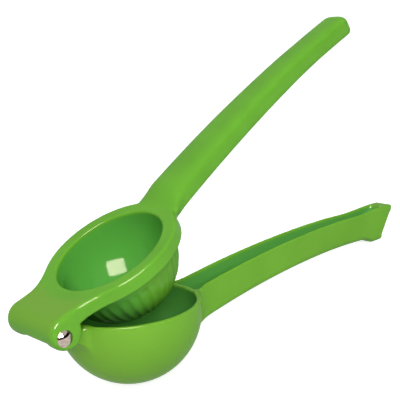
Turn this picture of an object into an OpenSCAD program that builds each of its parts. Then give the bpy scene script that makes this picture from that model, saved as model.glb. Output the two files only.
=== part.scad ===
// Hinged lemon squeezer: two cast levers joined by one riveted pin.
// The cup of the lower lever holds half a lemon. The press bowl of the upper lever
// folds down into the cup and pushes the juice out through the drain holes.
//
// Both levers are drawn in a lever frame of their own: the hinge axis is the Y axis,
// +X runs towards the handle's tip and +Z points out of the cup. Then they are turned to
// the rest pose, where the cup's bottom and the handle's foot stand on the plane z = 0.
// The origin is the middle of the small flat under the cup. All sizes are millimetres.

/* [Cup] */
// Outer radius of the cup and of the press ring above it
cup_r = 32; // [29:0.5:36]
// Thickness of the cup's wall
cup_wall = 2.2; // [1.8:0.1:3]
// Height of the straight band between the rim and the round bottom
cup_band = 3.1; // [1:0.1:8]
// Distance from the hinge axis to the middle of the cup
hinge_to_cup = 44.2; // [43:0.1:50]
// Drop of the cup's rim below the hinge axis
rim_drop = 0.8; // [0.6:0.1:2]
// Diameter of each drain hole
drain_d = 3.2; // [2:0.1:4]
// Places in the inner ring of drain holes; the place over the rest flat stays closed
drain_inner_count = 6; // [4:1:7]
// Radius of the inner ring of drain holes
drain_inner_r = 6; // [5.5:0.5:6.5]
// Drain holes in the outer ring
drain_outer_count = 12; // [6:1:14]
// Radius of the outer ring of drain holes
drain_outer_r = 11; // [11:0.5:13]

/* [Press bowl] */
// Height of the ring's top face above the hinge axis
ring_top = 5.9; // [5:0.1:7]
// Gap between the ring and the cup's rim if the two were parallel
ring_gap = 0.4; // [0.4:0.1:1.5]
// Free gap round the press bowl at the cup's rim
press_gap = 1.8; // [1.5:0.1:4]
// Wall of the press bowl
bowl_wall = 2.6; // [1.8:0.1:3.5]
// Drop of the bowl's round centre below the ring's top face
bowl_drop = 5.3; // [3:0.1:6]
// Ribs on the underside of the press bowl
rib_count = 36; // [18:1:44]
// Depth of the grooves between the ribs
rib_depth = 0.9; // [0.4:0.1:1.2]
// Angle from the pole at which the ribs end
rib_inner = 14; // [10:1:25]
// Angle from the pole at which the ribs begin under the smooth collar
rib_outer = 80; // [60:1:82]

/* [Hinge] */
// Radius of the hood and the ears
hood_r = 7.3; // [7:0.1:7.6]
// Distance of the hood's centre from the hinge axis, towards the ring
hood_shift = 2; // [1.4:0.1:2.3]
// Distance of the hood's centre above the hinge axis
hood_rise = 0.7; // [0.3:0.1:1]
// Width across the two ears
ears_w = 37.2; // [35:0.2:40]
// Thickness of each ear
ear_t = 6.4; // [5:0.2:8]
// Clearance between the lug and each ear, and between the lug and the hood
lug_clear = 0.35; // [0.3:0.05:0.6]
// Wall of the lug round the pin
lug_wall = 1.2; // [1:0.1:1.3]
// Slope of the hood from its crown down to the ring
hood_slope = 11.3; // [9:0.1:13]
// Length over which the hood's ends draw in
end_len = 2.6; // [1.5:0.1:4]
// Draw of the hood's ends at the top and the back
end_draw = 2.2; // [1.2:0.1:3]
// Draw of the ears' lower front edges
ear_draw = 1; // [0.5:0.1:1.2]
// Angle that the hood's rear wall reaches below the horizontal
hood_wrap = 2; // [0:1:20]
// Radius of the fillet between each ear and the ring
ear_fillet = 7; // [5:0.5:10]
// Diameter of the pin
pin_d = 3.6; // [3.2:0.1:3.8]
// Diameter of the pin's domed head
head_d = 7.2; // [6.5:0.1:9]
// Height of the domed head
head_h = 1.8; // [1:0.1:2.5]
// Running clearance of the pin in the lug, on the radius
pin_clear = 0.05; // [0.03:0.01:0.1]
// Depth of the pin's plain end below the other ear's face
pin_recess = 0.3; // [0.1:0.1:1]

/* [Handles] */
// Distance from the hinge axis to the lower handle's end
lower_reach = 215.8; // [190:0.1:240]
// Distance from the hinge axis to the upper handle's end
upper_reach = 217.6; // [190:0.1:240]
// Half width of the lower handle next to the cup
lower_root_half = 8.8; // [8:0.1:11]
// Half width of the lower handle near the tip
lower_tip_half = 5.5; // [5:0.1:8]
// Half width of the upper handle next to the ring
upper_root_half = 11.5; // [9:0.1:13]
// Half width of the upper handle near the tip
upper_tip_half = 7.4; // [6:0.1:9]
// Height of the lower handle's top edge at the cup
lower_root_z = -0.9; // [-3:0.1:-0.8]
// Height of the lower handle's top edge at its highest point
lower_crest_z = 9.4; // [7:0.1:9.6]
// Depth of the lower handle at the cup
lower_root_h = 16.6; // [13:0.1:18]
// Depth of the lower handle near the tip
lower_tip_h = 14.2; // [11:0.1:15]
// Height of the upper handle's top at the neck
upper_root_z = 10.9; // [9.5:0.1:11.5]
// Height of the upper handle's top at its highest point
upper_crest_z = 16.7; // [16.4:0.1:19]
// Depth of the upper handle at the neck
upper_root_h = 11.2; // [9:0.1:12]
// Depth of the upper handle near the tip
upper_tip_h = 10.3; // [8:0.1:11]
// Wall of the handles' channels
channel_wall = 2; // [1.8:0.1:2.5]
// Drop of both handles' ends below their highest point
handle_droop = 1.6; // [0.5:0.1:2.5]
// Rounding of the upper handle's tip
tip_round = 5.5; // [3:0.5:6]
// Length of the foot at the end of the lower handle
foot_len = 22; // [18:0.5:28]

/* [Pose] */
// Lean of the lower lever when it stands on the cup and the foot
lean = 10.1; // [9.8:0.1:10.6]
// Opening angle between the levers in the rest pose
opening = 27.4; // [5:0.1:80]

/* [Hidden] */
$fn = 64;
eps = 0.01;

// Cup and press bowl
rim_z = -rim_drop;
cup_z = rim_z - cup_band;
cup_inner_r = cup_r - cup_wall;
ring_bottom = rim_z + ring_gap;
dome_r = cup_inner_r - press_gap;
bowl_r = dome_r - bowl_wall;
bowl_z = ring_top - bowl_drop;
rim_edge = 0.7;
ring_edge = 1.3;
lip_edge = 1.1;

// Rest plane, as a line in the lower lever's frame
rest_flat_r = 3.4;
rest_dist = sqrt(cup_r * cup_r - rest_flat_r * rest_flat_r);
rest_x = hinge_to_cup + rest_dist * sin(lean);
rest_z = cup_z - rest_dist * cos(lean);

// Hinge
pin_r = pin_d / 2;
ear_out = ears_w / 2;
ear_in = ear_out - ear_t;
lug_half = ear_in - lug_clear;
lug_r = pin_r + pin_clear + lug_wall;
hood_in_r = lug_r + lug_clear;
block_bottom = ring_bottom + 0.4;
block_end = hinge_to_cup - 0.62 * cup_r;
web_top = rim_z - 0.5;
web_bottom = -1.5 * lug_r;

// Handles
ring_out_x = hinge_to_cup + cup_r;
neck_start = ring_out_x - 9;
neck_end = ring_out_x + 8;
lower_flare = 8;
upper_flare = 10;
ramp_start = neck_start + 1;
foot_start = lower_reach - foot_len;
foot_toe = lower_reach - 9;
heel_len = 7;
foot_dip = 0.6;
foot_steps = 14;
ramp_len = 27;
end_wall = 7;
end_taper = 0.8;
hollow_start = ring_out_x + 4;
hollow_end = upper_reach - 9;
hollow_ease = 12;
hollow_ramp = 15;
hollow_lift = 0.8;
channel_over = 4;
tip_places = [for (a = [0:15:90]) upper_reach - tip_round + tip_round * sin(a)];
stations = 20;
neck_step = 2;
corner_steps = 4;
hood_steps = 16;

lower_green = [0.42, 0.68, 0.22];
upper_green = [0.44, 0.7, 0.24];
pin_steel = [0.76, 0.74, 0.72];

// ---------- functions ----------

// Value between a and b, held at both ends
function mix(a, b, t) = a + (b - a) * clamp01(t);
function clamp01(t) = min(1, max(0, t));
// The same with a soft start and end
function ease(a, b, t) = a + (b - a) * clamp01(t) * clamp01(t) * (3 - 2 * clamp01(t));
// Points of an arc in a plane
function arc(cx, cy, r, from, to, steps) =
    [for (i = [0:steps]) let (a = from + (to - from) * i / steps) [cx + r * cos(a), cy + r * sin(a)]];

// Rest plane's height in the lower lever's frame
function floor_z(x) = rest_z + (x - rest_x) * tan(lean);
// Place along a handle, 0 at the cup and 1 at the end
function along(x, reach) = (x - ring_out_x) / (reach - ring_out_x);
// Height that climbs from a root to a crest and droops a little at the end
function bow(x, reach, root, crest) =
    let (t = along(x, reach), rise = 1 - pow(1 - clamp01(t / 0.78), 2))
    root + (crest - root) * (t < 0 ? 2 * t / 0.78 : rise)
    - handle_droop * pow(clamp01((t - 0.62) / 0.38), 2);
// Half width with the flare that meets the cup or the ring
function handle_half(x, reach, root, tip, flare) =
    mix(root, tip, 1.25 * along(x, reach))
    + flare * pow(1 - clamp01((x - neck_start) / (neck_end - neck_start)), 2);
function lower_half(x) = handle_half(x, lower_reach, lower_root_half, lower_tip_half, lower_flare);
function upper_half(x) = handle_half(x, upper_reach, upper_root_half, upper_tip_half, upper_flare);

// Lower handle: top edge, underside with the foot and its slanting end
function lower_top(x) = bow(x, lower_reach, lower_root_z, lower_crest_z) + lower_lip(x);
function lower_lip(x) = ease(0, 2.1, (x - lower_reach + 30) / 30);
function lower_under(x) =
    bow(x, lower_reach, lower_root_z - lower_root_h, lower_crest_z - lower_tip_h);
function foot_under(x) =
    ease(lower_under(foot_start), floor_z(foot_toe) - foot_dip, (x - foot_start) / heel_len);
function end_under(x) =
    let (t = (x - foot_toe + 1) / (lower_reach - foot_toe + 1))
    mix(floor_z(foot_toe) - foot_dip, lower_top(lower_reach) - 2.4, t);
function lower_bottom(x) =
    x < foot_start ? lower_under(x) : x < foot_toe ? foot_under(x) : end_under(x);

// Upper handle: crown, underside and the rounded tip
function tip_cut(x) =
    let (u = clamp01((x - upper_reach + tip_round) / tip_round)) tip_round * (1 - sqrt(1 - u * u));
function upper_top(x) =
    let (t = (x - ramp_start) / (neck_end - ramp_start))
    ease(ring_top - 1.2, bow(x, upper_reach, upper_root_z, upper_crest_z), t) - 0.75 * tip_cut(x);
function upper_bottom(x) =
    max(ring_bottom + 0.25, bow(x, upper_reach, upper_root_z - upper_root_h, upper_crest_z - upper_tip_h))
    + 0.35 * tip_cut(x);

// Rounded cross-section in the plane x, half width w, from z = low to z = high
function section(x, w, low, high, r_top, r_low) =
    let (
        rt = min(r_top, (high - low) * 0.48, w * 0.9),
        rl = min(r_low, (high - low) * 0.48, w * 0.9),
        right = concat(arc(w - rl, low + rl, rl, -90, 0, corner_steps),
            arc(w - rt, high - rt, rt, 0, 90, corner_steps)),
        n = len(right)
    )
    concat([for (p = right) [x, p[0], p[1]]], [for (i = [n - 1:-1:0]) [x, -right[i][0], right[i][1]]]);

// Places of the sections: small steps at the neck, even ones, then the given last places
function places(from, ends) =
    let (even = max(from, neck_end + neck_step))
    concat([for (x = [from:neck_step:even - neck_step / 2]) x],
        [for (i = [0:stations - 1]) even + (ends[0] - even) * i / stations], ends);
// Evenly spaced places from one value to another
function row_of(from, to, count) = [for (i = [0:count]) from + (to - from) * i / count];

// ---------- general modules ----------

// Skin over a list of sections that all have the same number of points
module loft(rows) {
    n = len(rows[0]);
    last = len(rows) - 1;
    points = [for (row = rows) for (p = row) p];
    sides = [for (i = [0:last - 1]) for (j = [0:n - 1]) let (a = i * n + j, b = i * n + (j + 1) % n)
        each [[a, b + n, b], [a, a + n, b + n]]];
    front = [for (j = [1:n - 2]) [0, j, j + 1]];
    back = [for (j = [1:n - 2]) [last * n, last * n + j + 1, last * n + j]];
    polyhedron(points, concat(front, sides, back));
}

// Prism with an outline in the XZ plane, centred on y = 0
module side_prism(width) {
    rotate([90, 0, 0]) linear_extrude(height = width, center = true) children();
}

module cross_cylinder(r, width) {
    rotate([90, 0, 0]) cylinder(r = r, h = width, center = true);
}

// Turns a lever's own frame to the row frame, opened by the given angle
module place(angle) {
    rotate([0, lean, 0])
        translate([-rest_x, 0, -rest_z])
            rotate([0, -angle, 0]) children();
}

// ---------- lower lever ----------

module cup_solid() {
    translate([hinge_to_cup, 0, 0]) {
        intersection() {
            translate([0, 0, cup_z]) sphere(r = cup_r);
            translate([0, 0, cup_z - 2 * cup_r]) cylinder(r = 2 * cup_r, h = 2 * cup_r);
        }
        rotate_extrude() polygon(concat(
            [[0, cup_z], [cup_r, cup_z]],
            arc(cup_r - rim_edge, rim_z - rim_edge, rim_edge, 0, 90, 3),
            [[0, rim_z]]));
    }
}

module cup_space() {
    translate([hinge_to_cup, 0, cup_z]) {
        sphere(r = cup_inner_r);
        cylinder(r = cup_inner_r, h = 4 * cup_band + ring_top);
    }
}

// Holes on a circle, from the place with the number first
module drain_ring(first, count, radius) {
    for (i = [first:count - 1])
        rotate([0, 0, i * 360 / count])
            translate([radius, 0, 0]) cylinder(d = drain_d, h = 2 * cup_r);
}

module drain_holes() {
    translate([hinge_to_cup, 0, cup_z - 2 * cup_r]) {
        cylinder(d = drain_d, h = 2 * cup_r);
        drain_ring(1, drain_inner_count, drain_inner_r);
        rotate([0, 0, 180 / drain_outer_count]) drain_ring(0, drain_outer_count, drain_outer_r);
    }
}

module lug() {
    cup_edge = hinge_to_cup - cup_r + cup_wall / 2;
    cross_cylinder(lug_r, 2 * lug_half);
    side_prism(2 * lug_half)
        polygon([[0, -lug_r + eps], [cup_edge * 0.6, web_bottom], [cup_edge + 4, cup_z - 9],
            [cup_edge + 1, web_top], [0, web_top]]);
}

module lower_handle() {
    difference() {
        loft([for (x = places(neck_start - 2, row_of(foot_start, lower_reach, foot_steps)))
            section(x, lower_half(x), lower_bottom(x), lower_top(x), 1.1, 2.6)]);
        loft([for (x = places(neck_start - 4, row_of(lower_reach - ramp_len, lower_reach - end_wall, 8)))
            let (
                lift = ease(0, 1, (x - lower_reach + ramp_len) / (ramp_len - end_wall)),
                w = lower_half(x) - channel_wall - end_taper * lift,
                low = mix(lower_under(x) + channel_wall + 0.6, lower_top(x) + 0.5, lift)
            )
            section(x, w, low, lower_top(x) + channel_over, 0.4, 2.4)]);
    }
}

module rest_plane_cut() {
    translate([rest_x, 0, rest_z])
        rotate([0, -lean, 0])
            translate([-2 * cup_r, -2 * cup_r, -4 * cup_r]) cube([2 * lower_reach, 4 * cup_r, 4 * cup_r]);
}

module lower_lever() {
    color(lower_green) place(0) difference() {
        union() {
            cup_solid();
            lower_handle();
            lug();
        }
        cup_space();
        drain_holes();
        cross_cylinder(pin_r + pin_clear, ears_w);
        rest_plane_cut();
    }
}

// ---------- upper lever ----------

module press_ring() {
    translate([hinge_to_cup, 0, 0]) {
        rotate_extrude() polygon(concat(
            [[0, ring_bottom], [cup_r - rim_edge, ring_bottom], [cup_r, ring_bottom + rim_edge]],
            arc(cup_r - ring_edge, ring_top - ring_edge, ring_edge, 0, 90, 4),
            [[0, ring_top]]));
        translate([0, 0, bowl_z]) intersection() {
            sphere(r = dome_r);
            translate([0, 0, -dome_r - 1]) cylinder(r = dome_r + 1, h = dome_r + 1);
        }
    }
}

module bowl_space() {
    translate([hinge_to_cup, 0, 0]) {
        translate([0, 0, bowl_z]) sphere(r = bowl_r);
        rotate_extrude() polygon([[0, bowl_z], [bowl_r, bowl_z],
            [bowl_r, ring_top - lip_edge], [bowl_r + lip_edge * 0.3, ring_top - lip_edge * 0.3],
            [bowl_r + lip_edge, ring_top + eps], [bowl_r + lip_edge, ring_top + cup_r],
            [0, ring_top + cup_r]]);
    }
}

// Grooves between the ribs: thin wedges of a shell that narrow towards the pole
module rib_grooves() {
    step = 360 / rib_count;
    translate([hinge_to_cup, 0, bowl_z])
        for (i = [0:rib_count - 1])
            rotate([0, 0, i * step])
                rotate_extrude(angle = step / 2)
                    intersection() {
                        difference() {
                            circle(r = dome_r + 1);
                            circle(r = dome_r - rib_depth);
                        }
                        polygon([[0, 0], for (a = [rib_inner, rib_outer]) 2 * cup_r * [sin(a), -cos(a)]]);
                    }
}

// Cross-section of the hood and the ears in the plane y. It draws in towards both ends,
// least at the ears' lower front. The list runs clockwise in the XZ plane
function hood_section(y, draw) =
    let (
        crown = 90 - hood_slope,
        pull = function (a) draw * (ear_draw + (end_draw - ear_draw) * (1 + cos(a - 140)) / 2),
        top = hood_rise + (hood_r - pull(crown)) * cos(hood_slope)
    )
    concat([for (i = [hood_steps:-1:0])
            let (a = crown + (348 - crown) * i / hood_steps, r = hood_r - pull(a))
            [hood_shift + r * cos(a), y, hood_rise + r * sin(a)]],
        [[block_end, y, top - (block_end - hood_shift) * tan(hood_slope)], [block_end, y, block_bottom]]);

// Web that fills the corner between an ear and the ring, on +Y
module ear_fillet_web() {
    cy = ear_out + ear_fillet;
    reach = cup_r + ear_fillet;
    cx = hinge_to_cup - sqrt(reach * reach - cy * cy);
    turn = atan2(-cy, hinge_to_cup - cx);
    for (layer = [[0, 1.4], [0.7, 0.5]])
        translate([0, 0, block_bottom + layer[0]])
            linear_extrude(height = ring_top - block_bottom - layer[0] - layer[1])
                polygon(concat(arc(cx, cy, ear_fillet + layer[0], -90, turn, 5),
                    [[hinge_to_cup - 0.86 * cup_r, ear_in], [cx, ear_in]]));
}

module hinge_block() {
    half = [for (a = [0:15:90]) [ear_out - end_len + end_len * sin(a), 1 - cos(a)]];
    loft(concat([for (i = [len(half) - 1:-1:0]) hood_section(-half[i][0], half[i][1])],
        [for (p = half) hood_section(p[0], p[1])]));
    for (side = [0, 1]) mirror([0, side, 0]) ear_fillet_web();
}

// Room for the lug between the ears, open below and behind the hood's rear wall
module lug_room() {
    back = 180 + hood_wrap;
    far = 4 * hood_r;
    side_prism(2 * ear_in) {
        circle(r = hood_in_r);
        polygon([[0, 0], far * [cos(back), sin(back)], [0, -far], [hinge_to_cup - cup_r - 0.5, -far],
            [hinge_to_cup - cup_r - 0.5, web_top + lug_clear + 0.3], [0, web_top + lug_clear + 0.3]]);
    }
}

module upper_handle() {
    difference() {
        loft([for (x = places(neck_start - 4, tip_places))
            let (w = upper_half(x) - tip_cut(x))
            section(x, w, upper_bottom(x), upper_top(x), 4.2, 1.6)]);
        loft([for (x = places(hollow_start, row_of(hollow_end - hollow_ramp, hollow_end, 5)))
            let (
                lift = hollow_lift * (ease(1, 0, (x - hollow_start) / hollow_ease)
                    + ease(0, 1, (x - hollow_end + hollow_ramp) / hollow_ramp)),
                w = upper_half(x) - channel_wall - 0.4,
                high = mix(upper_top(x) - channel_wall - 0.6, upper_bottom(x) + 0.6, lift)
            )
            section(x, w, upper_bottom(x) - channel_over, high, 2.4, 0.4)]);
    }
}

module upper_lever() {
    color(upper_green) place(opening) difference() {
        union() {
            press_ring();
            hinge_block();
            upper_handle();
        }
        bowl_space();
        rib_grooves();
        lug_room();
        cross_cylinder(pin_r, 2 * ears_w);
    }
}

// ---------- hinge pin ----------

module pin_head() {
    dome_radius = (head_d * head_d / 4 + head_h * head_h) / (2 * head_h);
    intersection() {
        translate([0, 0, head_h - dome_radius]) sphere(r = dome_radius);
        cylinder(d = head_d + 1, h = head_h + 1);
    }
}

module hinge_pin() {
    color(pin_steel) place(opening) {
        rotate([90, 0, 0]) translate([0, 0, pin_recess - ear_out])
            cylinder(r = pin_r, h = ears_w - pin_recess);
        rotate([90, 0, 0]) translate([0, 0, ear_out]) pin_head();
    }
}

lower_lever();
upper_lever();
hinge_pin();
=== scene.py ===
# Looks of a hinged lemon squeezer. The shape functions work in millimetres in a lever's own
# frame: the hinge axis is Y, +X runs to the handle's tip and +Z points out of the cup.
import math

import bmesh
import bpy
import numpy as np
from mathutils import Matrix, Vector


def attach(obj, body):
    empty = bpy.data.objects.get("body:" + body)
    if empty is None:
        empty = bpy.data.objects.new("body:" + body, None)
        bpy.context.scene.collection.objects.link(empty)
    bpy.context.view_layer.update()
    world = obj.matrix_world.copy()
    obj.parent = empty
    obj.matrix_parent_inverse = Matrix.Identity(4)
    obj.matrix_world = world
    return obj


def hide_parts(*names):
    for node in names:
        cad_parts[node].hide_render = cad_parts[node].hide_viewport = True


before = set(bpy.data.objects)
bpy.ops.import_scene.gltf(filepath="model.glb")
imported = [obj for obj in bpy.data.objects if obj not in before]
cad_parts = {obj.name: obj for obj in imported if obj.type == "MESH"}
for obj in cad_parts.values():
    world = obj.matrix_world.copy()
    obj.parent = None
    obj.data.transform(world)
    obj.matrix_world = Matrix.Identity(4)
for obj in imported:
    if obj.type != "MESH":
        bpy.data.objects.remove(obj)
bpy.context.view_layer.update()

# ---------- values, as in the part's source ----------
CUP_R = 32.0
CUP_WALL = 2.2
CUP_BAND = 3.1
CUP_IN = CUP_R - CUP_WALL
HINGE_TO_CUP = 44.2
RIM_Z = -0.8
CUP_Z = RIM_Z - CUP_BAND
DRAIN_R = 1.6
DRAIN_INNER_COUNT = 6
DRAIN_INNER_R = 6
DRAIN_OUTER_COUNT = 12
DRAIN_OUTER_R = 11
RING_TOP = 5.9
RING_GAP = 0.4
RING_BOTTOM = RIM_Z + RING_GAP
PRESS_GAP = 1.8
DOME_R = CUP_IN - PRESS_GAP
BOWL_WALL = 2.6
BOWL_R = DOME_R - BOWL_WALL
BOWL_DROP = 5.3
BOWL_Z = RING_TOP - BOWL_DROP
RIB_COUNT = 36
HOOD_R = 7.3
HOOD_X = 2.0
HOOD_Z = 0.7
HOOD_SLOPE = math.radians(11.3)
CREASE_R = 31.0
EAR_DRAW = 1.0
END_DRAW = 2.2
END_LEN = 2.6
EAR_FILLET = 7
EAR_OUT = 18.6
EAR_WIDTH = 6.4
EAR_IN = EAR_OUT - EAR_WIDTH
LUG_CLEAR = 0.35
LUG_HALF = EAR_IN - LUG_CLEAR
LUG_R = 3.05
ROOM_R = LUG_R + LUG_CLEAR
PIN_R = 1.8
HEAD_R = 3.6
HEAD_H = 1.8
PIN_RECESS = 0.3
LOWER_REACH = 215.8
LOWER_HALF = (8.8, 5.5)
LOWER_FLARE = 8
LOWER_TOP = (-0.9, 9.4)
LOWER_UNDER = (-17.5, -4.8)
UPPER_REACH = 217.6
UPPER_HALF = (11.5, 7.4)
UPPER_FLARE = 10
UPPER_TOP = (10.9, 16.7)
UPPER_UNDER = (-0.3, 6.4)
CREST = 0.78
RING_X = HINGE_TO_CUP + CUP_R
NECK_START = RING_X - 9
NECK_END = RING_X + 8
RAMP_START = NECK_START + 1
FOOT_START = LOWER_REACH - 22
FOOT_TOE = LOWER_REACH - 9
TIP_ROUND = 5.5
WALL = 2.0
DROOP = 1.6
LEAN = math.radians(10.1)
OPENING = math.radians(27.4)
FLAT_R = 3.4
REST_DIST = math.sqrt(CUP_R ** 2 - FLAT_R ** 2)
REST_X = HINGE_TO_CUP + REST_DIST * math.sin(LEAN)
REST_Z = CUP_Z - REST_DIST * math.cos(LEAN)

# ---------- values of the finer forms ----------
CHANNEL_END = LOWER_REACH - 7
CHANNEL_STEP = 3.4
CHANNEL_DRAFT = 0.4
CHANNEL_DRAFT_COS = 0.93
THIN_WALL = 1.1
WALL_DRAFT = 0.16
RIB_DEPTH = 0.6
RIB_START = 12
RIB_FADE = 76
BOWL_EASE = 3
WEB_BEND_X = 8
WEB_BEND_Z = -4.6
WEB_END = 22


def to_row(angle):
    """Matrix from a lever's own frame in mm to the row frame in metres."""
    return (Matrix.Scale(0.001, 4) @ Matrix.Rotation(LEAN, 4, "Y")
            @ Matrix.Translation((-REST_X, 0, -REST_Z)) @ Matrix.Rotation(-angle, 4, "Y"))


LOWER = to_row(0)
UPPER = to_row(OPENING)


# ---------- outlines along the handles ----------
def clamp(t):
    return np.clip(t, 0.0, 1.0)


def mix(a, b, t):
    return a + (b - a) * clamp(t)


def ease(a, b, t):
    """From a to b with a smooth start and end, while t goes from 0 to 1."""
    t = clamp(t)
    return a + (b - a) * t * t * (3 - 2 * t)


def along(x, reach):
    """0 at the ring's outside, 1 at the handle's end."""
    return (x - RING_X) / (reach - RING_X)


def bow(x, reach, root, crest):
    """Height of a handle's edge: from root it curves up to crest and droops to the end."""
    t = along(x, reach)
    rise = np.where(t < 0, 2 * t / CREST, 1 - (1 - clamp(t / CREST)) ** 2)
    return root + (crest - root) * rise - DROOP * clamp((t - 0.62) / 0.38) ** 2


def half_width(x, reach, root, tip, flare):
    spread = flare * (1 - clamp((x - NECK_START) / (NECK_END - NECK_START))) ** 2
    return mix(root, tip, 1.25 * along(x, reach)) + spread


def lower_half(x):
    return half_width(x, LOWER_REACH, *LOWER_HALF, LOWER_FLARE)


def upper_half(x, flare):
    return half_width(x, UPPER_REACH, *UPPER_HALF, flare)


def floor_z(x):
    """Height of the surface that the squeezer rests on."""
    return REST_Z + (x - REST_X) * math.tan(LEAN)


def lower_top(x):
    return bow(x, LOWER_REACH, *LOWER_TOP) + ease(0, 2.1, (x - LOWER_REACH + 30) / 30)


def lower_under(x):
    return bow(x, LOWER_REACH, *LOWER_UNDER)


def lower_bottom(x):
    """Underside of the lower handle, with the foot and the slope from its toe to the end."""
    toe = floor_z(FOOT_TOE) - 0.6
    foot = ease(lower_under(np.float64(FOOT_START)), toe, (x - FOOT_START) / 7)
    end = lower_top(np.float64(LOWER_REACH)) - 2.4
    slope = mix(toe, end, (x - FOOT_TOE + 1) / (LOWER_REACH - FOOT_TOE + 1))
    return np.where(x < FOOT_START, lower_under(x), np.where(x < FOOT_TOE, foot, slope))


def channel_lift(x):
    """0 along the lower channel, rising to 1 before its end."""
    return ease(0, 1, (x - LOWER_REACH + 27) / 20)


def channel_floor(x):
    return mix(lower_under(x) + WALL + 0.6, lower_top(x) - CHANNEL_STEP, channel_lift(x))


def tip_cut(x):
    """How far the upper handle's sides draw in at its rounded end."""
    u = clamp((x - UPPER_REACH + TIP_ROUND) / TIP_ROUND)
    return TIP_ROUND * (1 - np.sqrt(1 - u * u))


def upper_top(x):
    t = (x - RAMP_START) / (NECK_END - RAMP_START)
    return ease(RING_TOP - 1.2, bow(x, UPPER_REACH, *UPPER_TOP), t) - 0.75 * tip_cut(x)


def upper_bottom(x):
    under = bow(x, UPPER_REACH, *UPPER_UNDER)
    return np.maximum(RING_BOTTOM + 0.25, under) + 0.35 * tip_cut(x)


# ---------- distance fields, negative inside ----------
def round_union(a, b, r):
    """Union of two solids with a fillet of radius r in the corner between them."""
    corner = np.hypot(np.maximum(r - a, 0), np.maximum(r - b, 0))
    return np.maximum(r, np.minimum(a, b)) - corner


def round_cut(a, b, r):
    """Overlap of two solids with a rounding of radius r on the edge between them."""
    corner = np.hypot(np.maximum(r + a, 0), np.maximum(r + b, 0))
    return np.minimum(-r, np.maximum(a, b)) + corner


def soft_union(a, b, k):
    """Union of two solids whose seam is smoothed where the fields differ by less than k."""
    h = np.maximum(k - np.abs(a - b), 0) / k
    return np.minimum(a, b) - h * h * k / 4


def oval_edge(p, s, a, b):
    """Overlap of two solids whose shared edge is a quarter ellipse, a deep in p and b in s."""
    u = np.maximum(p + a, 0) / a
    v = np.maximum(s + b, 0) / b
    scale = (a * u + b * v + 1e-6) / (u + v + 1e-6)
    return (np.hypot(u, v) - 1) * scale + np.minimum(np.maximum(p + a, s + b), 0)


def bar(y, z, half, low, high, r_top, r_low):
    """Cross-section of a handle: a rounded rectangle from low to high."""
    mid = (low + high) / 2
    tall = (high - low) / 2
    r = np.minimum(np.where(z > mid, r_top, r_low), np.minimum(tall * 0.96, half * 0.9))
    dy = y - half + r
    dz = np.abs(z - mid) - tall + r
    corner = np.hypot(np.maximum(dy, 0), np.maximum(dz, 0))
    return np.minimum(np.maximum(dy, dz), 0) + corner - r


def arched(y, z, half, low, high, power):
    """Cross-section of a handle that is arched above its middle and square below."""
    mid = (low + high) / 2
    tall = (high - low) / 2
    n = np.where(z > mid, power, 6.0)
    u = np.abs(y) / half + 1e-4
    v = np.abs(z - mid) / tall + 1e-4
    norm = (u ** n + v ** n) ** (1 / n)
    slope = norm ** (1 - n) * np.hypot(u ** (n - 1) / half, v ** (n - 1) / tall)
    return (norm - 1) / slope


def cup_q(x, y, z):
    """Distance from the cup's middle: a half ball below CUP_Z and a tube above it."""
    return np.sqrt((x - HINGE_TO_CUP) ** 2 + y ** 2 + np.minimum(z - CUP_Z, 0) ** 2)


def hole_ring(places, count, radius):
    """Middles of holes at the given places of a ring that count holes would fill."""
    turns = [2 * math.pi * place / count for place in places]
    return [(radius * math.cos(a), radius * math.sin(a)) for a in turns]


# The inner ring has no hole on +X, where the cup rests on its flat.
HOLES = ([(0.0, 0.0)]
         + hole_ring(range(1, DRAIN_INNER_COUNT), DRAIN_INNER_COUNT, DRAIN_INNER_R)
         + hole_ring(np.arange(DRAIN_OUTER_COUNT) + 0.5, DRAIN_OUTER_COUNT, DRAIN_OUTER_R))


def drain(body, x, y, z):
    """Cuts the drain holes, with rounded edges, that reach into the half with y > 0."""
    deep = z[0, 0] < CUP_Z - 15
    for dx, dy in HOLES:
        if dy > -DRAIN_R - 0.9:
            near = np.abs(x[:, 0, 0] - HINGE_TO_CUP - dx) < 2 * DRAIN_R
            part = np.hypot(x[near] - HINGE_TO_CUP - dx, y - dy) - DRAIN_R
            block = np.ix_(near, np.ones(y.shape[1], bool), deep)
            body[block] = round_cut(body[block], np.broadcast_to(-part, body[block].shape), 0.4)


def lower_handle(x, y, z):
    half = lower_half(x)
    top = lower_top(x)
    handle = bar(y, z, half, lower_bottom(x), top, 1.0, 2.8)
    handle = round_cut(handle, x - LOWER_REACH, 1.2)
    handle = np.maximum(handle, NECK_START - 2 - x)
    wall = np.clip(THIN_WALL + WALL_DRAFT * (top - z), THIN_WALL, WALL) + 0.6 * channel_lift(x)
    end = (x - CHANNEL_END + CHANNEL_DRAFT * (top - z)) * CHANNEL_DRAFT_COS
    channel = round_cut(round_cut(y - half + wall, channel_floor(x) - z, 2.6), end, 2.5)
    return round_cut(handle, -channel, 0.45)


def hinge_lug(x, y, z):
    """The lug round the pin and the web that carries it on the cup."""
    near = -LUG_R - 0.19 * x - z
    far = (WEB_BEND_Z - 0.89 * (x - WEB_BEND_X) - z) * 0.75
    under = round_union(near, far, 4)
    web = np.maximum(np.maximum(under, z - RIM_Z + 0.5), np.maximum(-x, x - WEB_END))
    lug = round_union(np.hypot(x, z) - LUG_R, web, 0.6)
    return round_cut(lug, y - LUG_HALF, 0.8)


def lower_field(x, y, z):
    q = cup_q(x, y, z)
    cup = round_cut(q - CUP_R, z - RIM_Z, 0.5)
    body = round_union(cup, lower_handle(x, y, z), 2.5)
    body = round_union(body, hinge_lug(x, y, z), 2.2)
    body = round_cut(body, CUP_IN - q, 0.8)
    body = np.maximum(body, PIN_R + 0.15 - np.hypot(x, z))
    drain(body, x, y, z)
    return round_cut(body, (floor_z(x) - z) * math.cos(LEAN), 0.3)


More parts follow.
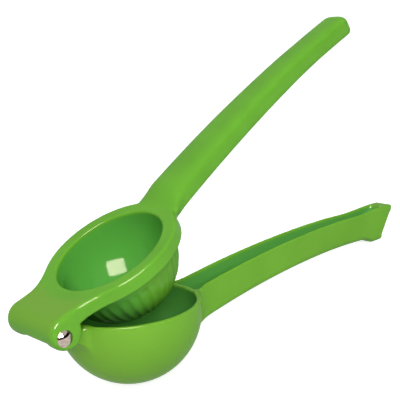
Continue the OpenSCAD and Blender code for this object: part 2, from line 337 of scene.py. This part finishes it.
def rib_depth(x, y, z, rho):
    """Depth of the grooves between the ribs of the press bowl."""
    turn = np.arctan2(y, x - HINGE_TO_CUP)
    polar = np.degrees(np.arctan2(rho, BOWL_Z - z))
    wave = 0.5 - 0.5 * np.cos(RIB_COUNT * turn)
    ends = ease(0, 1, (polar - RIB_START) / 8) * ease(1, 0, (polar - RIB_FADE) / 6)
    return RIB_DEPTH * wave * ends


def hood(x, y, z, rho):
    """The barrel round the hinge, drawn in at its ends, and the deck from it to the ring."""
    turn = np.arctan2(z - HOOD_Z, x - HOOD_X)
    draw = EAR_DRAW + (END_DRAW - EAR_DRAW) * (1 + np.cos(turn - math.radians(140))) / 2
    barrel = np.hypot(x - HOOD_X, z - HOOD_Z) - HOOD_R
    barrel = oval_edge(barrel, y - EAR_OUT, draw, END_LEN)
    crown_x = HOOD_X + HOOD_R * math.sin(HOOD_SLOPE)
    rise = HOOD_Z + HOOD_R * math.cos(HOOD_SLOPE) - RING_TOP
    climb = (rho - CREASE_R) / (np.hypot(HINGE_TO_CUP - crown_x, y) - CREASE_R)
    slope = (z - RING_TOP - rise * climb) * math.cos(HOOD_SLOPE)
    top = soft_union(slope, z - RING_TOP, 0.5)
    side = round_union(rho - CUP_R, np.maximum(y - EAR_OUT, x - 30), EAR_FILLET)
    flat = ease(0, 1, (x - 9) / 20)
    deck = oval_edge(top, side, mix(2.0, 1.3, flat), mix(END_LEN, 1.3, flat))
    deck = np.maximum(round_cut(deck, RING_BOTTOM + 0.3 - z, 0.6), crown_x - x)
    return np.minimum(barrel, deck)


def upper_handle(x, y, z):
    flare = UPPER_FLARE * ease(0.15, 1, (z - RING_BOTTOM) / (RING_TOP - RING_BOTTOM))
    half = upper_half(x, flare) - tip_cut(x)
    power = mix(2.3, 3.2, (x - NECK_END) / 45)
    handle = arched(y, z, half, upper_bottom(x), upper_top(x), power)
    handle = np.maximum(round_cut(handle, x - UPPER_REACH, 1.5), NECK_START - 4 - x)
    lift = 0.8 * (ease(1, 0, (x - RING_X - 4) / 12) + ease(0, 1, (x - UPPER_REACH + 24) / 15))
    roof = mix(upper_top(x) - WALL - 0.6, upper_bottom(x) + 0.6, lift)
    channel = round_cut(y - half + WALL + 0.4, z - roof, 2.4)
    channel = round_cut(channel, np.maximum(RING_X + 4 - x, x - UPPER_REACH + 9), 2)
    return round_cut(handle, -channel, 0.6)


def upper_field(x, y, z):
    rho = np.hypot(x - HINGE_TO_CUP, y)
    ring = round_cut(round_cut(rho - CUP_R, z - RING_TOP, 1.1), RING_BOTTOM - z, 0.6)
    body = np.minimum(ring, hood(x, y, z, rho))
    body = soft_union(body, upper_handle(x, y, z), 1.2)

    dome = np.sqrt(rho ** 2 + (z - BOWL_Z) ** 2) - DOME_R + rib_depth(x, y, z, rho)
    body = round_union(body, np.maximum(dome, z - 3), 0.4)
    depth = BOWL_EASE * np.log1p(np.exp(np.clip((BOWL_Z - z) / BOWL_EASE, -20, 20)))
    body = round_cut(body, BOWL_R - np.sqrt(rho ** 2 + depth ** 2), 1.1)

    bay = np.maximum(z + 0.65, x - HINGE_TO_CUP + CUP_R + 0.5)
    below = np.where(x < 0, z - 0.035 * x, bay)
    room = np.maximum(np.minimum(np.hypot(x, z) - ROOM_R, below), y - EAR_IN)
    body = round_cut(body, -room, 0.5)
    return np.maximum(body, PIN_R + 0.05 - np.hypot(x, z))


# ---------- where the colour differs: painted shade and painted warm light, 0 to 1 at each vertex ---
def lower_hollow_shade(x, y, z):
    """1 in the cup and in the handle's channel, where a darker, bluer painted shade goes, 0
    outside.
    """
    cup = ease(1, 0, (cup_q(x, y, z) - CUP_IN) / 0.8) * ease(0, 1, (RIM_Z - 0.3 - z) / 1.5)
    walls = lower_half(x) - 0.9 - np.abs(y)
    channel = ease(0, 1, walls / 0.6) * ease(0, 1, (lower_top(x) - z - 0.4) / 1.5)
    channel *= ease(0, 1, (x - RING_X - 1) / 2) * (z > channel_floor(x) - 1)
    return np.maximum(cup, channel)


def upper_hollow_shade(x, y, z):
    """1 in the press bowl and 0.9 on its ribs next to the hinge, where a darker, bluer painted
    shade goes, 0 outside.
    """
    rho = np.hypot(x - HINGE_TO_CUP, y)
    q = np.sqrt(rho ** 2 + np.minimum(z - BOWL_Z, 0) ** 2)
    bowl = ease(1, 0, (q - BOWL_R) / 0.8) * ease(0, 1, (RING_TOP - 0.8 - z) / 1.5)
    dome = ease(0, 1, (q - BOWL_R - 1) / 0.5) * ease(0, 1, (RING_BOTTOM - 0.3 - z) / 1.5)
    return np.maximum(bowl, dome * ease(0, 0.9, (43 - x) / 18) * (rho < DOME_R + 0.3))


def lower_warm_light(x, y, z):
    """1 at the hinge's side of the cup, which gets a yellower painted warm light, 0 at the
    handle.
    """
    return ease(1, 0, (x - 15) / 65)


def upper_warm_light(x, y, z):
    """1 on the upper part of the deck between the hinge and the ring, which gets a yellower
    painted warm light, 0 elsewhere.
    """
    deck = ease(0, 1, (np.hypot(x - HINGE_TO_CUP, y) - CREASE_R) / 1.2)
    middle = ease(1, 0, (np.abs(y) - EAR_OUT + 3) / 3) * ease(0, 1, (z - 3) / 4)
    return deck * ease(1, 0, (x - 14) / 12) * middle


def lower_painted_shade(x, y, z):
    """Share of the colour that is left: less in the cup by the hinge, as painted shade."""
    inside = ease(1, 0, (cup_q(x, y, z) - CUP_IN) / 0.8)
    return 1 - 0.6 * inside * ease(1, 0, (x - 26) / 14)


def upper_painted_shade(x, y, z):
    """The same painted shade on the press bowl's ribbed side by the hinge."""
    under = (np.hypot(x - HINGE_TO_CUP, y) < DOME_R + 0.3) & (z < RING_BOTTOM)
    return 1 - 0.35 * under * ease(1, 0, (x - 20) / 13)


# ---------- skin over a field ----------
CORNERS = np.array([(i, j, k) for i in (0, 1) for j in (0, 1) for k in (0, 1)])
EDGES = [(a, b) for a in range(8) for b in range(a + 1, 8)
         if np.abs(CORNERS[a] - CORNERS[b]).sum() == 1]


def sample(field, p):
    """Field values between the grid points, p in grid units."""
    base = np.clip(np.floor(p).astype(np.int32), 0, np.array(field.shape) - 2)
    f = (p - base).astype(np.float32)
    total = np.zeros(len(p), np.float32)
    for c in CORNERS:
        weight = np.prod(np.where(c, f, 1 - f), axis=1)
        i, j, k = (base + c).T
        total += weight * field[i, j, k]
    return total


def gradient(field, p, d=0.5):
    parts = []
    for axis in range(3):
        shift = np.zeros(3, np.float32)
        shift[axis] = d
        parts.append((sample(field, p + shift) - sample(field, p - shift)) / (2 * d))
    return np.stack(parts, axis=1)


def cell_points(field, active):
    """One point in each active cell, drawn onto the surface where the field is zero."""
    where = np.argwhere(active)
    values = np.stack([field[tuple((where + c).T)] for c in CORNERS], axis=1)
    total = np.zeros((len(where), 3), np.float32)
    hits = np.zeros((len(where), 1), np.float32)
    for a, b in EDGES:
        va, vb = values[:, a], values[:, b]
        cross = (va < 0) != (vb < 0)
        t = np.where(cross, va / np.where(cross, va - vb, 1), 0)[:, None]
        total += np.where(cross[:, None], CORNERS[a] + t * (CORNERS[b] - CORNERS[a]), 0)
        hits += cross[:, None]
    points = where + total / hits
    for _ in range(3):
        g = gradient(field, points)
        size = np.maximum((g ** 2).sum(1, keepdims=True), 1e-3)
        points = points - np.clip(sample(field, points)[:, None] * g / size, -0.35, 0.35)
    return points


def skin(field):
    """Quads over the surface where the field is zero: (points in grid units, quads)."""
    inside = field < 0
    cells = np.array(field.shape) - 1
    count = np.zeros(cells, np.int8)
    for i, j, k in CORNERS:
        count += inside[i:i + cells[0], j:j + cells[1], k:k + cells[2]]
    active = (count > 0) & (count < 8)
    index = np.full(cells, -1, np.int32)
    index[active] = np.arange(active.sum())

    quads = []
    for axis in range(3):
        second, third = (axis + 1) % 3, (axis + 2) % 3
        u, v = np.eye(3, dtype=int)[second], np.eye(3, dtype=int)[third]
        lo = np.take(inside, np.arange(cells[axis]), axis=axis)
        hi = np.take(inside, np.arange(1, cells[axis] + 1), axis=axis)
        e = np.argwhere(lo != hi)
        e = e[(e[:, second] > 0) & (e[:, third] > 0)]
        e = e[(e[:, second] < cells[second]) & (e[:, third] < cells[third])]
        around = (e - u - v, e - v, e, e - u)
        ring = np.stack([index[tuple(c.T)] for c in around], axis=1)
        out = ~lo[tuple(e.T)]
        ring[out] = ring[out][:, ::-1]
        quads.append(ring)
    return cell_points(field, active), np.concatenate(quads)


def add_object(name, mesh):
    obj = bpy.data.objects.new(name, mesh)
    bpy.context.scene.collection.objects.link(obj)
    return obj


def casting(name, field, layers, low, high, matrix):
    """Object for one lever. The field is made for y > 0 and mirrored."""
    x = np.arange(low[0], high[0], STEP, dtype=np.float32)[:, None, None]
    y = (np.arange(math.ceil(high[1] / STEP), dtype=np.float32)[None, :, None] + 0.5) * STEP
    z = np.arange(low[1], high[2], STEP, dtype=np.float32)[None, None, :]
    half = field(x, y, z).astype(np.float32)
    points, quads = skin(np.concatenate([half[:, ::-1], half], axis=1))
    points = points * STEP + (low[0], -y.max(), low[1])
    rot = np.array(matrix.to_3x3())
    mesh = bpy.data.meshes.new(name)
    mesh.vertices.add(len(points))
    mesh.vertices.foreach_set("co", (points @ rot.T + np.array(matrix.translation)).ravel())
    mesh.loops.add(quads.size)
    mesh.loops.foreach_set("vertex_index", quads.ravel())
    mesh.polygons.add(len(quads))
    mesh.polygons.foreach_set("loop_start", np.arange(len(quads)) * 4)
    mesh.polygons.foreach_set("use_smooth", np.ones(len(quads), bool))
    mesh.update(calc_edges=True)
    mesh.validate()
    for title, part in layers.items():
        layer = mesh.attributes.new(title, "FLOAT", "POINT")
        layer.data.foreach_set("value", part(*points.T).astype(np.float32))
    return add_object(name, mesh)


# ---------- materials ----------
def new_material(name):
    mat = bpy.data.materials.new(name)
    mat.use_nodes = True
    mat.node_tree.nodes.clear()
    return mat, mat.node_tree


def add(tree, kind, **values):
    """New shader node. An underscore in a socket's name stands for a space."""
    node = tree.nodes.new("ShaderNode" + kind)
    for title, value in values.items():
        node.inputs[title.replace("_", " ")].default_value = value
    return node


def show(tree, shader):
    """Makes the shader's output the material's surface."""
    tree.links.new(shader, tree.nodes.new("ShaderNodeOutputMaterial").inputs["Surface"])


def layer_value(tree, title):
    """A vertex layer of the mesh, by its title."""
    node = tree.nodes.new("ShaderNodeAttribute")
    node.attribute_name = title
    return node.outputs["Fac"]


def noise(tree, scale, detail):
    """Noise in the piece's own frame, so that it stays on the piece when it moves."""
    node = add(tree, "TexNoise", Scale=scale, Detail=detail)
    coords = tree.nodes.new("ShaderNodeTexCoord")
    tree.links.new(coords.outputs["Object"], node.inputs["Vector"])
    return node.outputs["Fac"]


def two_tone(tree, value, low, high, first, second):
    """First colour where value is below low, second above high, and a ramp between."""
    node = tree.nodes.new("ShaderNodeValToRGB")
    for stop, place, color in zip(node.color_ramp.elements, (low, high), (first, second)):
        stop.position = place
        stop.color = (*color, 1)
    tree.links.new(value, node.inputs["Fac"])
    return node.outputs["Color"]


def blend(tree, first, color, share):
    """First colour turning into the other one by share."""
    node = tree.nodes.new("ShaderNodeMix")
    node.data_type = "RGBA"
    node.inputs["B"].default_value = (*color, 1)
    tree.links.new(first, node.inputs["A"])
    tree.links.new(share, node.inputs["Factor"])
    return node.outputs["Result"]


def times(tree, color, share):
    node = tree.nodes.new("ShaderNodeMix")
    node.data_type = "RGBA"
    node.blend_type = "MULTIPLY"
    node.inputs["Factor"].default_value = 1
    tree.links.new(color, node.inputs["A"])
    tree.links.new(share, node.inputs["B"])
    return node.outputs["Result"]


def bump(tree, height, strength, distance):
    node = add(tree, "Bump", Strength=strength, Distance=distance)
    tree.links.new(height, node.inputs["Height"])
    return node


def enamel(name, color, deep, hollow_shade_tint, warm_light_tint):
    """Glossy sprayed enamel: slight waves and orange peel, uneven cover, and from vertex layers a
    painted warm light, a painted shade in the hollows and a painted shade by the hinge.
    """
    mat, tree = new_material(name)
    link = tree.links.new
    cover = two_tone(tree, noise(tree, 38, 3), 0.35, 0.6, deep, color)
    # Painted warm light: a yellower green where the warmth layer is high.
    warm_lit = blend(tree, cover, warm_light_tint, layer_value(tree, "warmth"))
    # Painted shade: a darker, bluer green in the cup, the channel and the press bowl.
    hollow_shaded = blend(tree, warm_lit, hollow_shade_tint, layer_value(tree, "hollow"))
    waves = bump(tree, noise(tree, 110, 1), 0.3, 0.0003)
    peel = bump(tree, noise(tree, 620, 1), 0.16, 0.0001)
    shader = add(tree, "BsdfPrincipled", Roughness=0.35, Specular_IOR_Level=0.0,
                 Coat_Weight=0.21, Coat_Roughness=0.09)
    link(waves.outputs["Normal"], peel.inputs["Normal"])
    link(peel.outputs["Normal"], shader.inputs["Normal"])
    # Painted shade: the colour is dimmed in the cup and on the press bowl's ribs by the hinge.
    link(times(tree, hollow_shaded, layer_value(tree, "shade")), shader.inputs["Base Color"])
    show(tree, shader.outputs["BSDF"])
    return mat


def steel(name):
    """Tumbled steel: small blotches of tint, polish and height."""
    mat, tree = new_material(name)
    link = tree.links.new
    blotch = noise(tree, 700, 4)
    tint = two_tone(tree, blotch, 0.3, 0.7, (0.30, 0.24, 0.20), (0.46, 0.38, 0.33))
    rough = add(tree, "MapRange", To_Min=0.04, To_Max=0.13)
    dents = bump(tree, blotch, 0.2, 0.00005)
    shader = add(tree, "BsdfPrincipled", Metallic=1)
    link(blotch, rough.inputs["Value"])
    link(rough.outputs["Result"], shader.inputs["Roughness"])
    link(tint, shader.inputs["Base Color"])
    link(dents.outputs["Normal"], shader.inputs["Normal"])
    show(tree, shader.outputs["BSDF"])
    return mat


# Each enamel's third colour is painted shade for the hollows, its fourth painted warm light.
LOWER_GREEN = enamel("lower_enamel", color=(0.176, 0.465, 0.036), deep=(0.160, 0.43, 0.031),
                     hollow_shade_tint=(0.105, 0.39, 0.066), warm_light_tint=(0.192, 0.465, 0.036))
UPPER_GREEN = enamel("upper_enamel", color=(0.150, 0.445, 0.034), deep=(0.135, 0.405, 0.030),
                     hollow_shade_tint=(0.105, 0.41, 0.056), warm_light_tint=(0.178, 0.41, 0.036))
PIN_STEEL = steel("pin_steel")


# ---------- pieces ----------
STEP = 0.45

# The layers hold painted shade and painted warm light for the enamel.
layers = {"hollow": lower_hollow_shade, "warmth": lower_warm_light, "shade": lower_painted_shade}
lower = casting("lower_casting", lower_field, layers,
                (-5, -39), (LOWER_REACH + 2, CUP_R + 2, 14), LOWER)
lower.data.materials.append(LOWER_GREEN)
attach(lower, "lower")
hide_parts("lower_lever")

layers = {"hollow": upper_hollow_shade, "warmth": upper_warm_light, "shade": upper_painted_shade}
upper = casting("upper_casting", upper_field, layers,
                (-8, -31), (UPPER_REACH + 2, CUP_R + 2, 24), UPPER)
upper.data.materials.append(UPPER_GREEN)
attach(upper, "upper")
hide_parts("upper_lever")


def lathe(name, profile, count, matrix):
    """Solid of revolution about Y through (radius, y) points, with closed ends."""
    bm = bmesh.new()
    turns = [2 * math.pi * i / count for i in range(count)]
    rings = []
    for r, y in profile:
        places = [Vector((r * math.cos(a), y, r * math.sin(a))) for a in turns]
        rings.append([bm.verts.new(matrix @ p) for p in places])
    for a, b in zip(rings, rings[1:]):
        for i in range(count):
            j = (i + 1) % count
            bm.faces.new((a[i], a[j], b[j], b[i]))
    bm.faces.new(rings[0][::-1])
    bm.faces.new(rings[-1])
    bmesh.ops.recalc_face_normals(bm, faces=bm.faces)
    mesh = bpy.data.meshes.new(name)
    bm.to_mesh(mesh)
    bm.free()
    mesh.polygons.foreach_set("use_smooth", [True] * len(mesh.polygons))
    return add_object(name, mesh)


def pin_profile():
    """The domed head on -Y, the shank, and the far end with its small rounding."""
    dome = (HEAD_R ** 2 + HEAD_H ** 2) / (2 * HEAD_H)
    steps = 17
    turns = [math.asin(HEAD_R / dome) * i / steps for i in range(1, steps)]
    head = [(dome * math.sin(a), -EAR_OUT - HEAD_H + dome * (1 - math.cos(a))) for a in turns]
    rim = [(HEAD_R - 0.06, -EAR_OUT - 0.16), (HEAD_R - 0.02, -EAR_OUT - 0.05),
           (HEAD_R - 0.1, -EAR_OUT)]
    shank = [(PIN_R + 0.2, -EAR_OUT), (PIN_R, -EAR_OUT + 0.1), (PIN_R, 0), (PIN_R, EAR_OUT - 0.7)]
    face = EAR_OUT - PIN_RECESS
    end = [(PIN_R - 0.1, face - 0.15), (PIN_R - 0.35, face), (0.4, face)]
    return head + rim + shank + end


pin = lathe("pin_turned", pin_profile(), 64, LOWER)
pin.data.materials.append(PIN_STEEL)
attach(pin, "upper")
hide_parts("hinge_pin")


# ---------- camera, fitted in the lower lever's frame ----------
AZ = math.radians(-38.685)
EL = math.radians(12.194)
ROLL = math.radians(-4.51)
TARGET = Vector((96.317, 0, 37.854))
DISTANCE = 483.727
FIT = 32 / 34
SHIFT = Vector((1.9, 0, -1.1))
FOCAL_PIXELS = 995.659
PICTURE_PIXELS = 400

back = Vector((math.sin(AZ) * math.cos(EL), -math.cos(AZ) * math.cos(EL), math.sin(EL)))
flat_right = Vector((math.cos(AZ), math.sin(AZ), 0))
flat_up = back.cross(flat_right)
right = math.cos(ROLL) * flat_right + math.sin(ROLL) * flat_up
up = math.cos(ROLL) * flat_up - math.sin(ROLL) * flat_right
eye = (TARGET + DISTANCE * back) * FIT - SHIFT

turn = Matrix.Rotation(LEAN, 3, "Y")
place = Matrix((turn @ right, turn @ up, turn @ back)).transposed().to_4x4()
place.translation = LOWER @ eye
cam_data = bpy.data.cameras.new("photo_camera")
cam_data.sensor_fit = "HORIZONTAL"
cam_data.sensor_width = 36
cam_data.lens = cam_data.sensor_width * FOCAL_PIXELS / PICTURE_PIXELS
cam_data.clip_start = 0.01
camera = add_object("photo_camera", cam_data)
camera.matrix_world = place
bpy.context.scene.camera = camera


# ---------- floor, backdrop and light ----------
FLOOR_HALF = 3
FLOOR_GREY = 0.6
FLOOR_GLOW = 0.82
FILL_LEVEL = 0.5
KEY_LEVEL = 6.1
WINDOW_LEVEL = 62
LAMP_DISTANCE = 0.9
CARD_R = 1.6
CARD_Z = (0.1, 0.82)


def seen_directly(tree):
    """1 for rays from the camera and rays that a glossy or clear surface passes on."""
    path = tree.nodes.new("ShaderNodeLightPath")
    first = tree.nodes.new("ShaderNodeMath")
    first.operation = "MAXIMUM"
    second = tree.nodes.new("ShaderNodeMath")
    second.operation = "MAXIMUM"
    tree.links.new(path.outputs["Is Camera Ray"], first.inputs[0])
    tree.links.new(path.outputs["Is Glossy Ray"], first.inputs[1])
    tree.links.new(first.outputs[0], second.inputs[0])
    tree.links.new(path.outputs["Is Transmission Ray"], second.inputs[1])
    return second.outputs[0]


def pale_floor():
    """White floor that keeps the object's shadow."""
    mat, tree = new_material("floor_white")
    plain = add(tree, "BsdfDiffuse", Color=(FLOOR_GREY, FLOOR_GREY, FLOOR_GREY, 1))
    white = tree.nodes.new("ShaderNodeEmission")
    lift = tree.nodes.new("ShaderNodeMath")
    lift.operation = "MULTIPLY"
    lift.inputs[1].default_value = FLOOR_GLOW
    both = tree.nodes.new("ShaderNodeAddShader")
    tree.links.new(seen_directly(tree), lift.inputs[0])
    tree.links.new(lift.outputs[0], white.inputs["Strength"])
    tree.links.new(plain.outputs["BSDF"], both.inputs[0])
    tree.links.new(white.outputs["Emission"], both.inputs[1])
    show(tree, both.outputs["Shader"])
    return mat


def black_card():
    mat, tree = new_material("card_black")
    show(tree, add(tree, "BsdfDiffuse", Color=(0.01, 0.01, 0.01, 1)).outputs["BSDF"])
    return mat


def flat_faces(name, points, faces, material):
    mesh = bpy.data.meshes.new(name)
    mesh.from_pydata(points, [], faces)
    mesh.materials.append(material)
    return add_object(name, mesh)


def softbox(name, direction, aim, size, level):
    """Rectangular lamp of the given brightness that shines on aim from the given direction."""
    data = bpy.data.lights.new(name, "AREA")
    data.shape = "RECTANGLE"
    data.size, data.size_y = size
    data.energy = level * math.pi * size[0] * size[1]
    lamp = add_object(name, data)
    away = Vector(direction).normalized()
    lamp.location = Vector(aim) + LAMP_DISTANCE * away
    lamp.rotation_euler = away.to_track_quat("Z", "Y").to_euler()
    return lamp


def studio_world():
    """Soft light from all sides, behind which the backdrop is white."""
    world = bpy.data.worlds.new("studio")
    world.use_nodes = True
    tree = world.node_tree
    fill = tree.nodes["Background"]
    fill.inputs["Color"].default_value = (1, 1, 1, 1)
    fill.inputs["Strength"].default_value = FILL_LEVEL
    blank = add(tree, "Background", Color=(1, 1, 1, 1), Strength=1)
    mixer = tree.nodes.new("ShaderNodeMixShader")
    tree.links.new(seen_directly(tree), mixer.inputs["Fac"])
    tree.links.new(fill.outputs["Background"], mixer.inputs[1])
    tree.links.new(blank.outputs["Background"], mixer.inputs[2])
    tree.links.new(mixer.outputs["Shader"], tree.nodes["World Output"].inputs["Surface"])
    return world


floor = flat_faces("floor", [(-FLOOR_HALF, -FLOOR_HALF, 0), (FLOOR_HALF, -FLOOR_HALF, 0),
                             (FLOOR_HALF, FLOOR_HALF, 0), (-FLOOR_HALF, FLOOR_HALF, 0)],
                   [(0, 1, 2, 3)], pale_floor())

bpy.context.scene.world = studio_world()
bpy.context.scene.view_settings.view_transform = "Standard"

key = softbox("key_box", (-0.35, -0.72, 0.6), (0.03, 0, 0.045), (0.56, 0.5), KEY_LEVEL)
key.visible_glossy = False
glint = softbox("window_box", (-0.40, -0.68, 0.63), (0.011, 0.019, 0.045), (0.58, 0.5),
                WINDOW_LEVEL)
glint.data.color = (1, 0.8, 0.7)
glint.visible_diffuse = False

# A dark band in front, which only the gloss shows, draws the dark line across the pin's head.
spots = [math.radians(a) for a in range(-175, 0, 10)]
posts = [(CARD_R * math.cos(a), CARD_R * math.sin(a), z) for a in spots for z in CARD_Z]
panels = [(i, i + 2, i + 3, i + 1) for i in range(0, len(posts) - 2, 2)]
card = flat_faces("dark_card", posts, panels, black_card())
card.visible_camera = False
card.visible_diffuse = False
card.visible_shadow = False
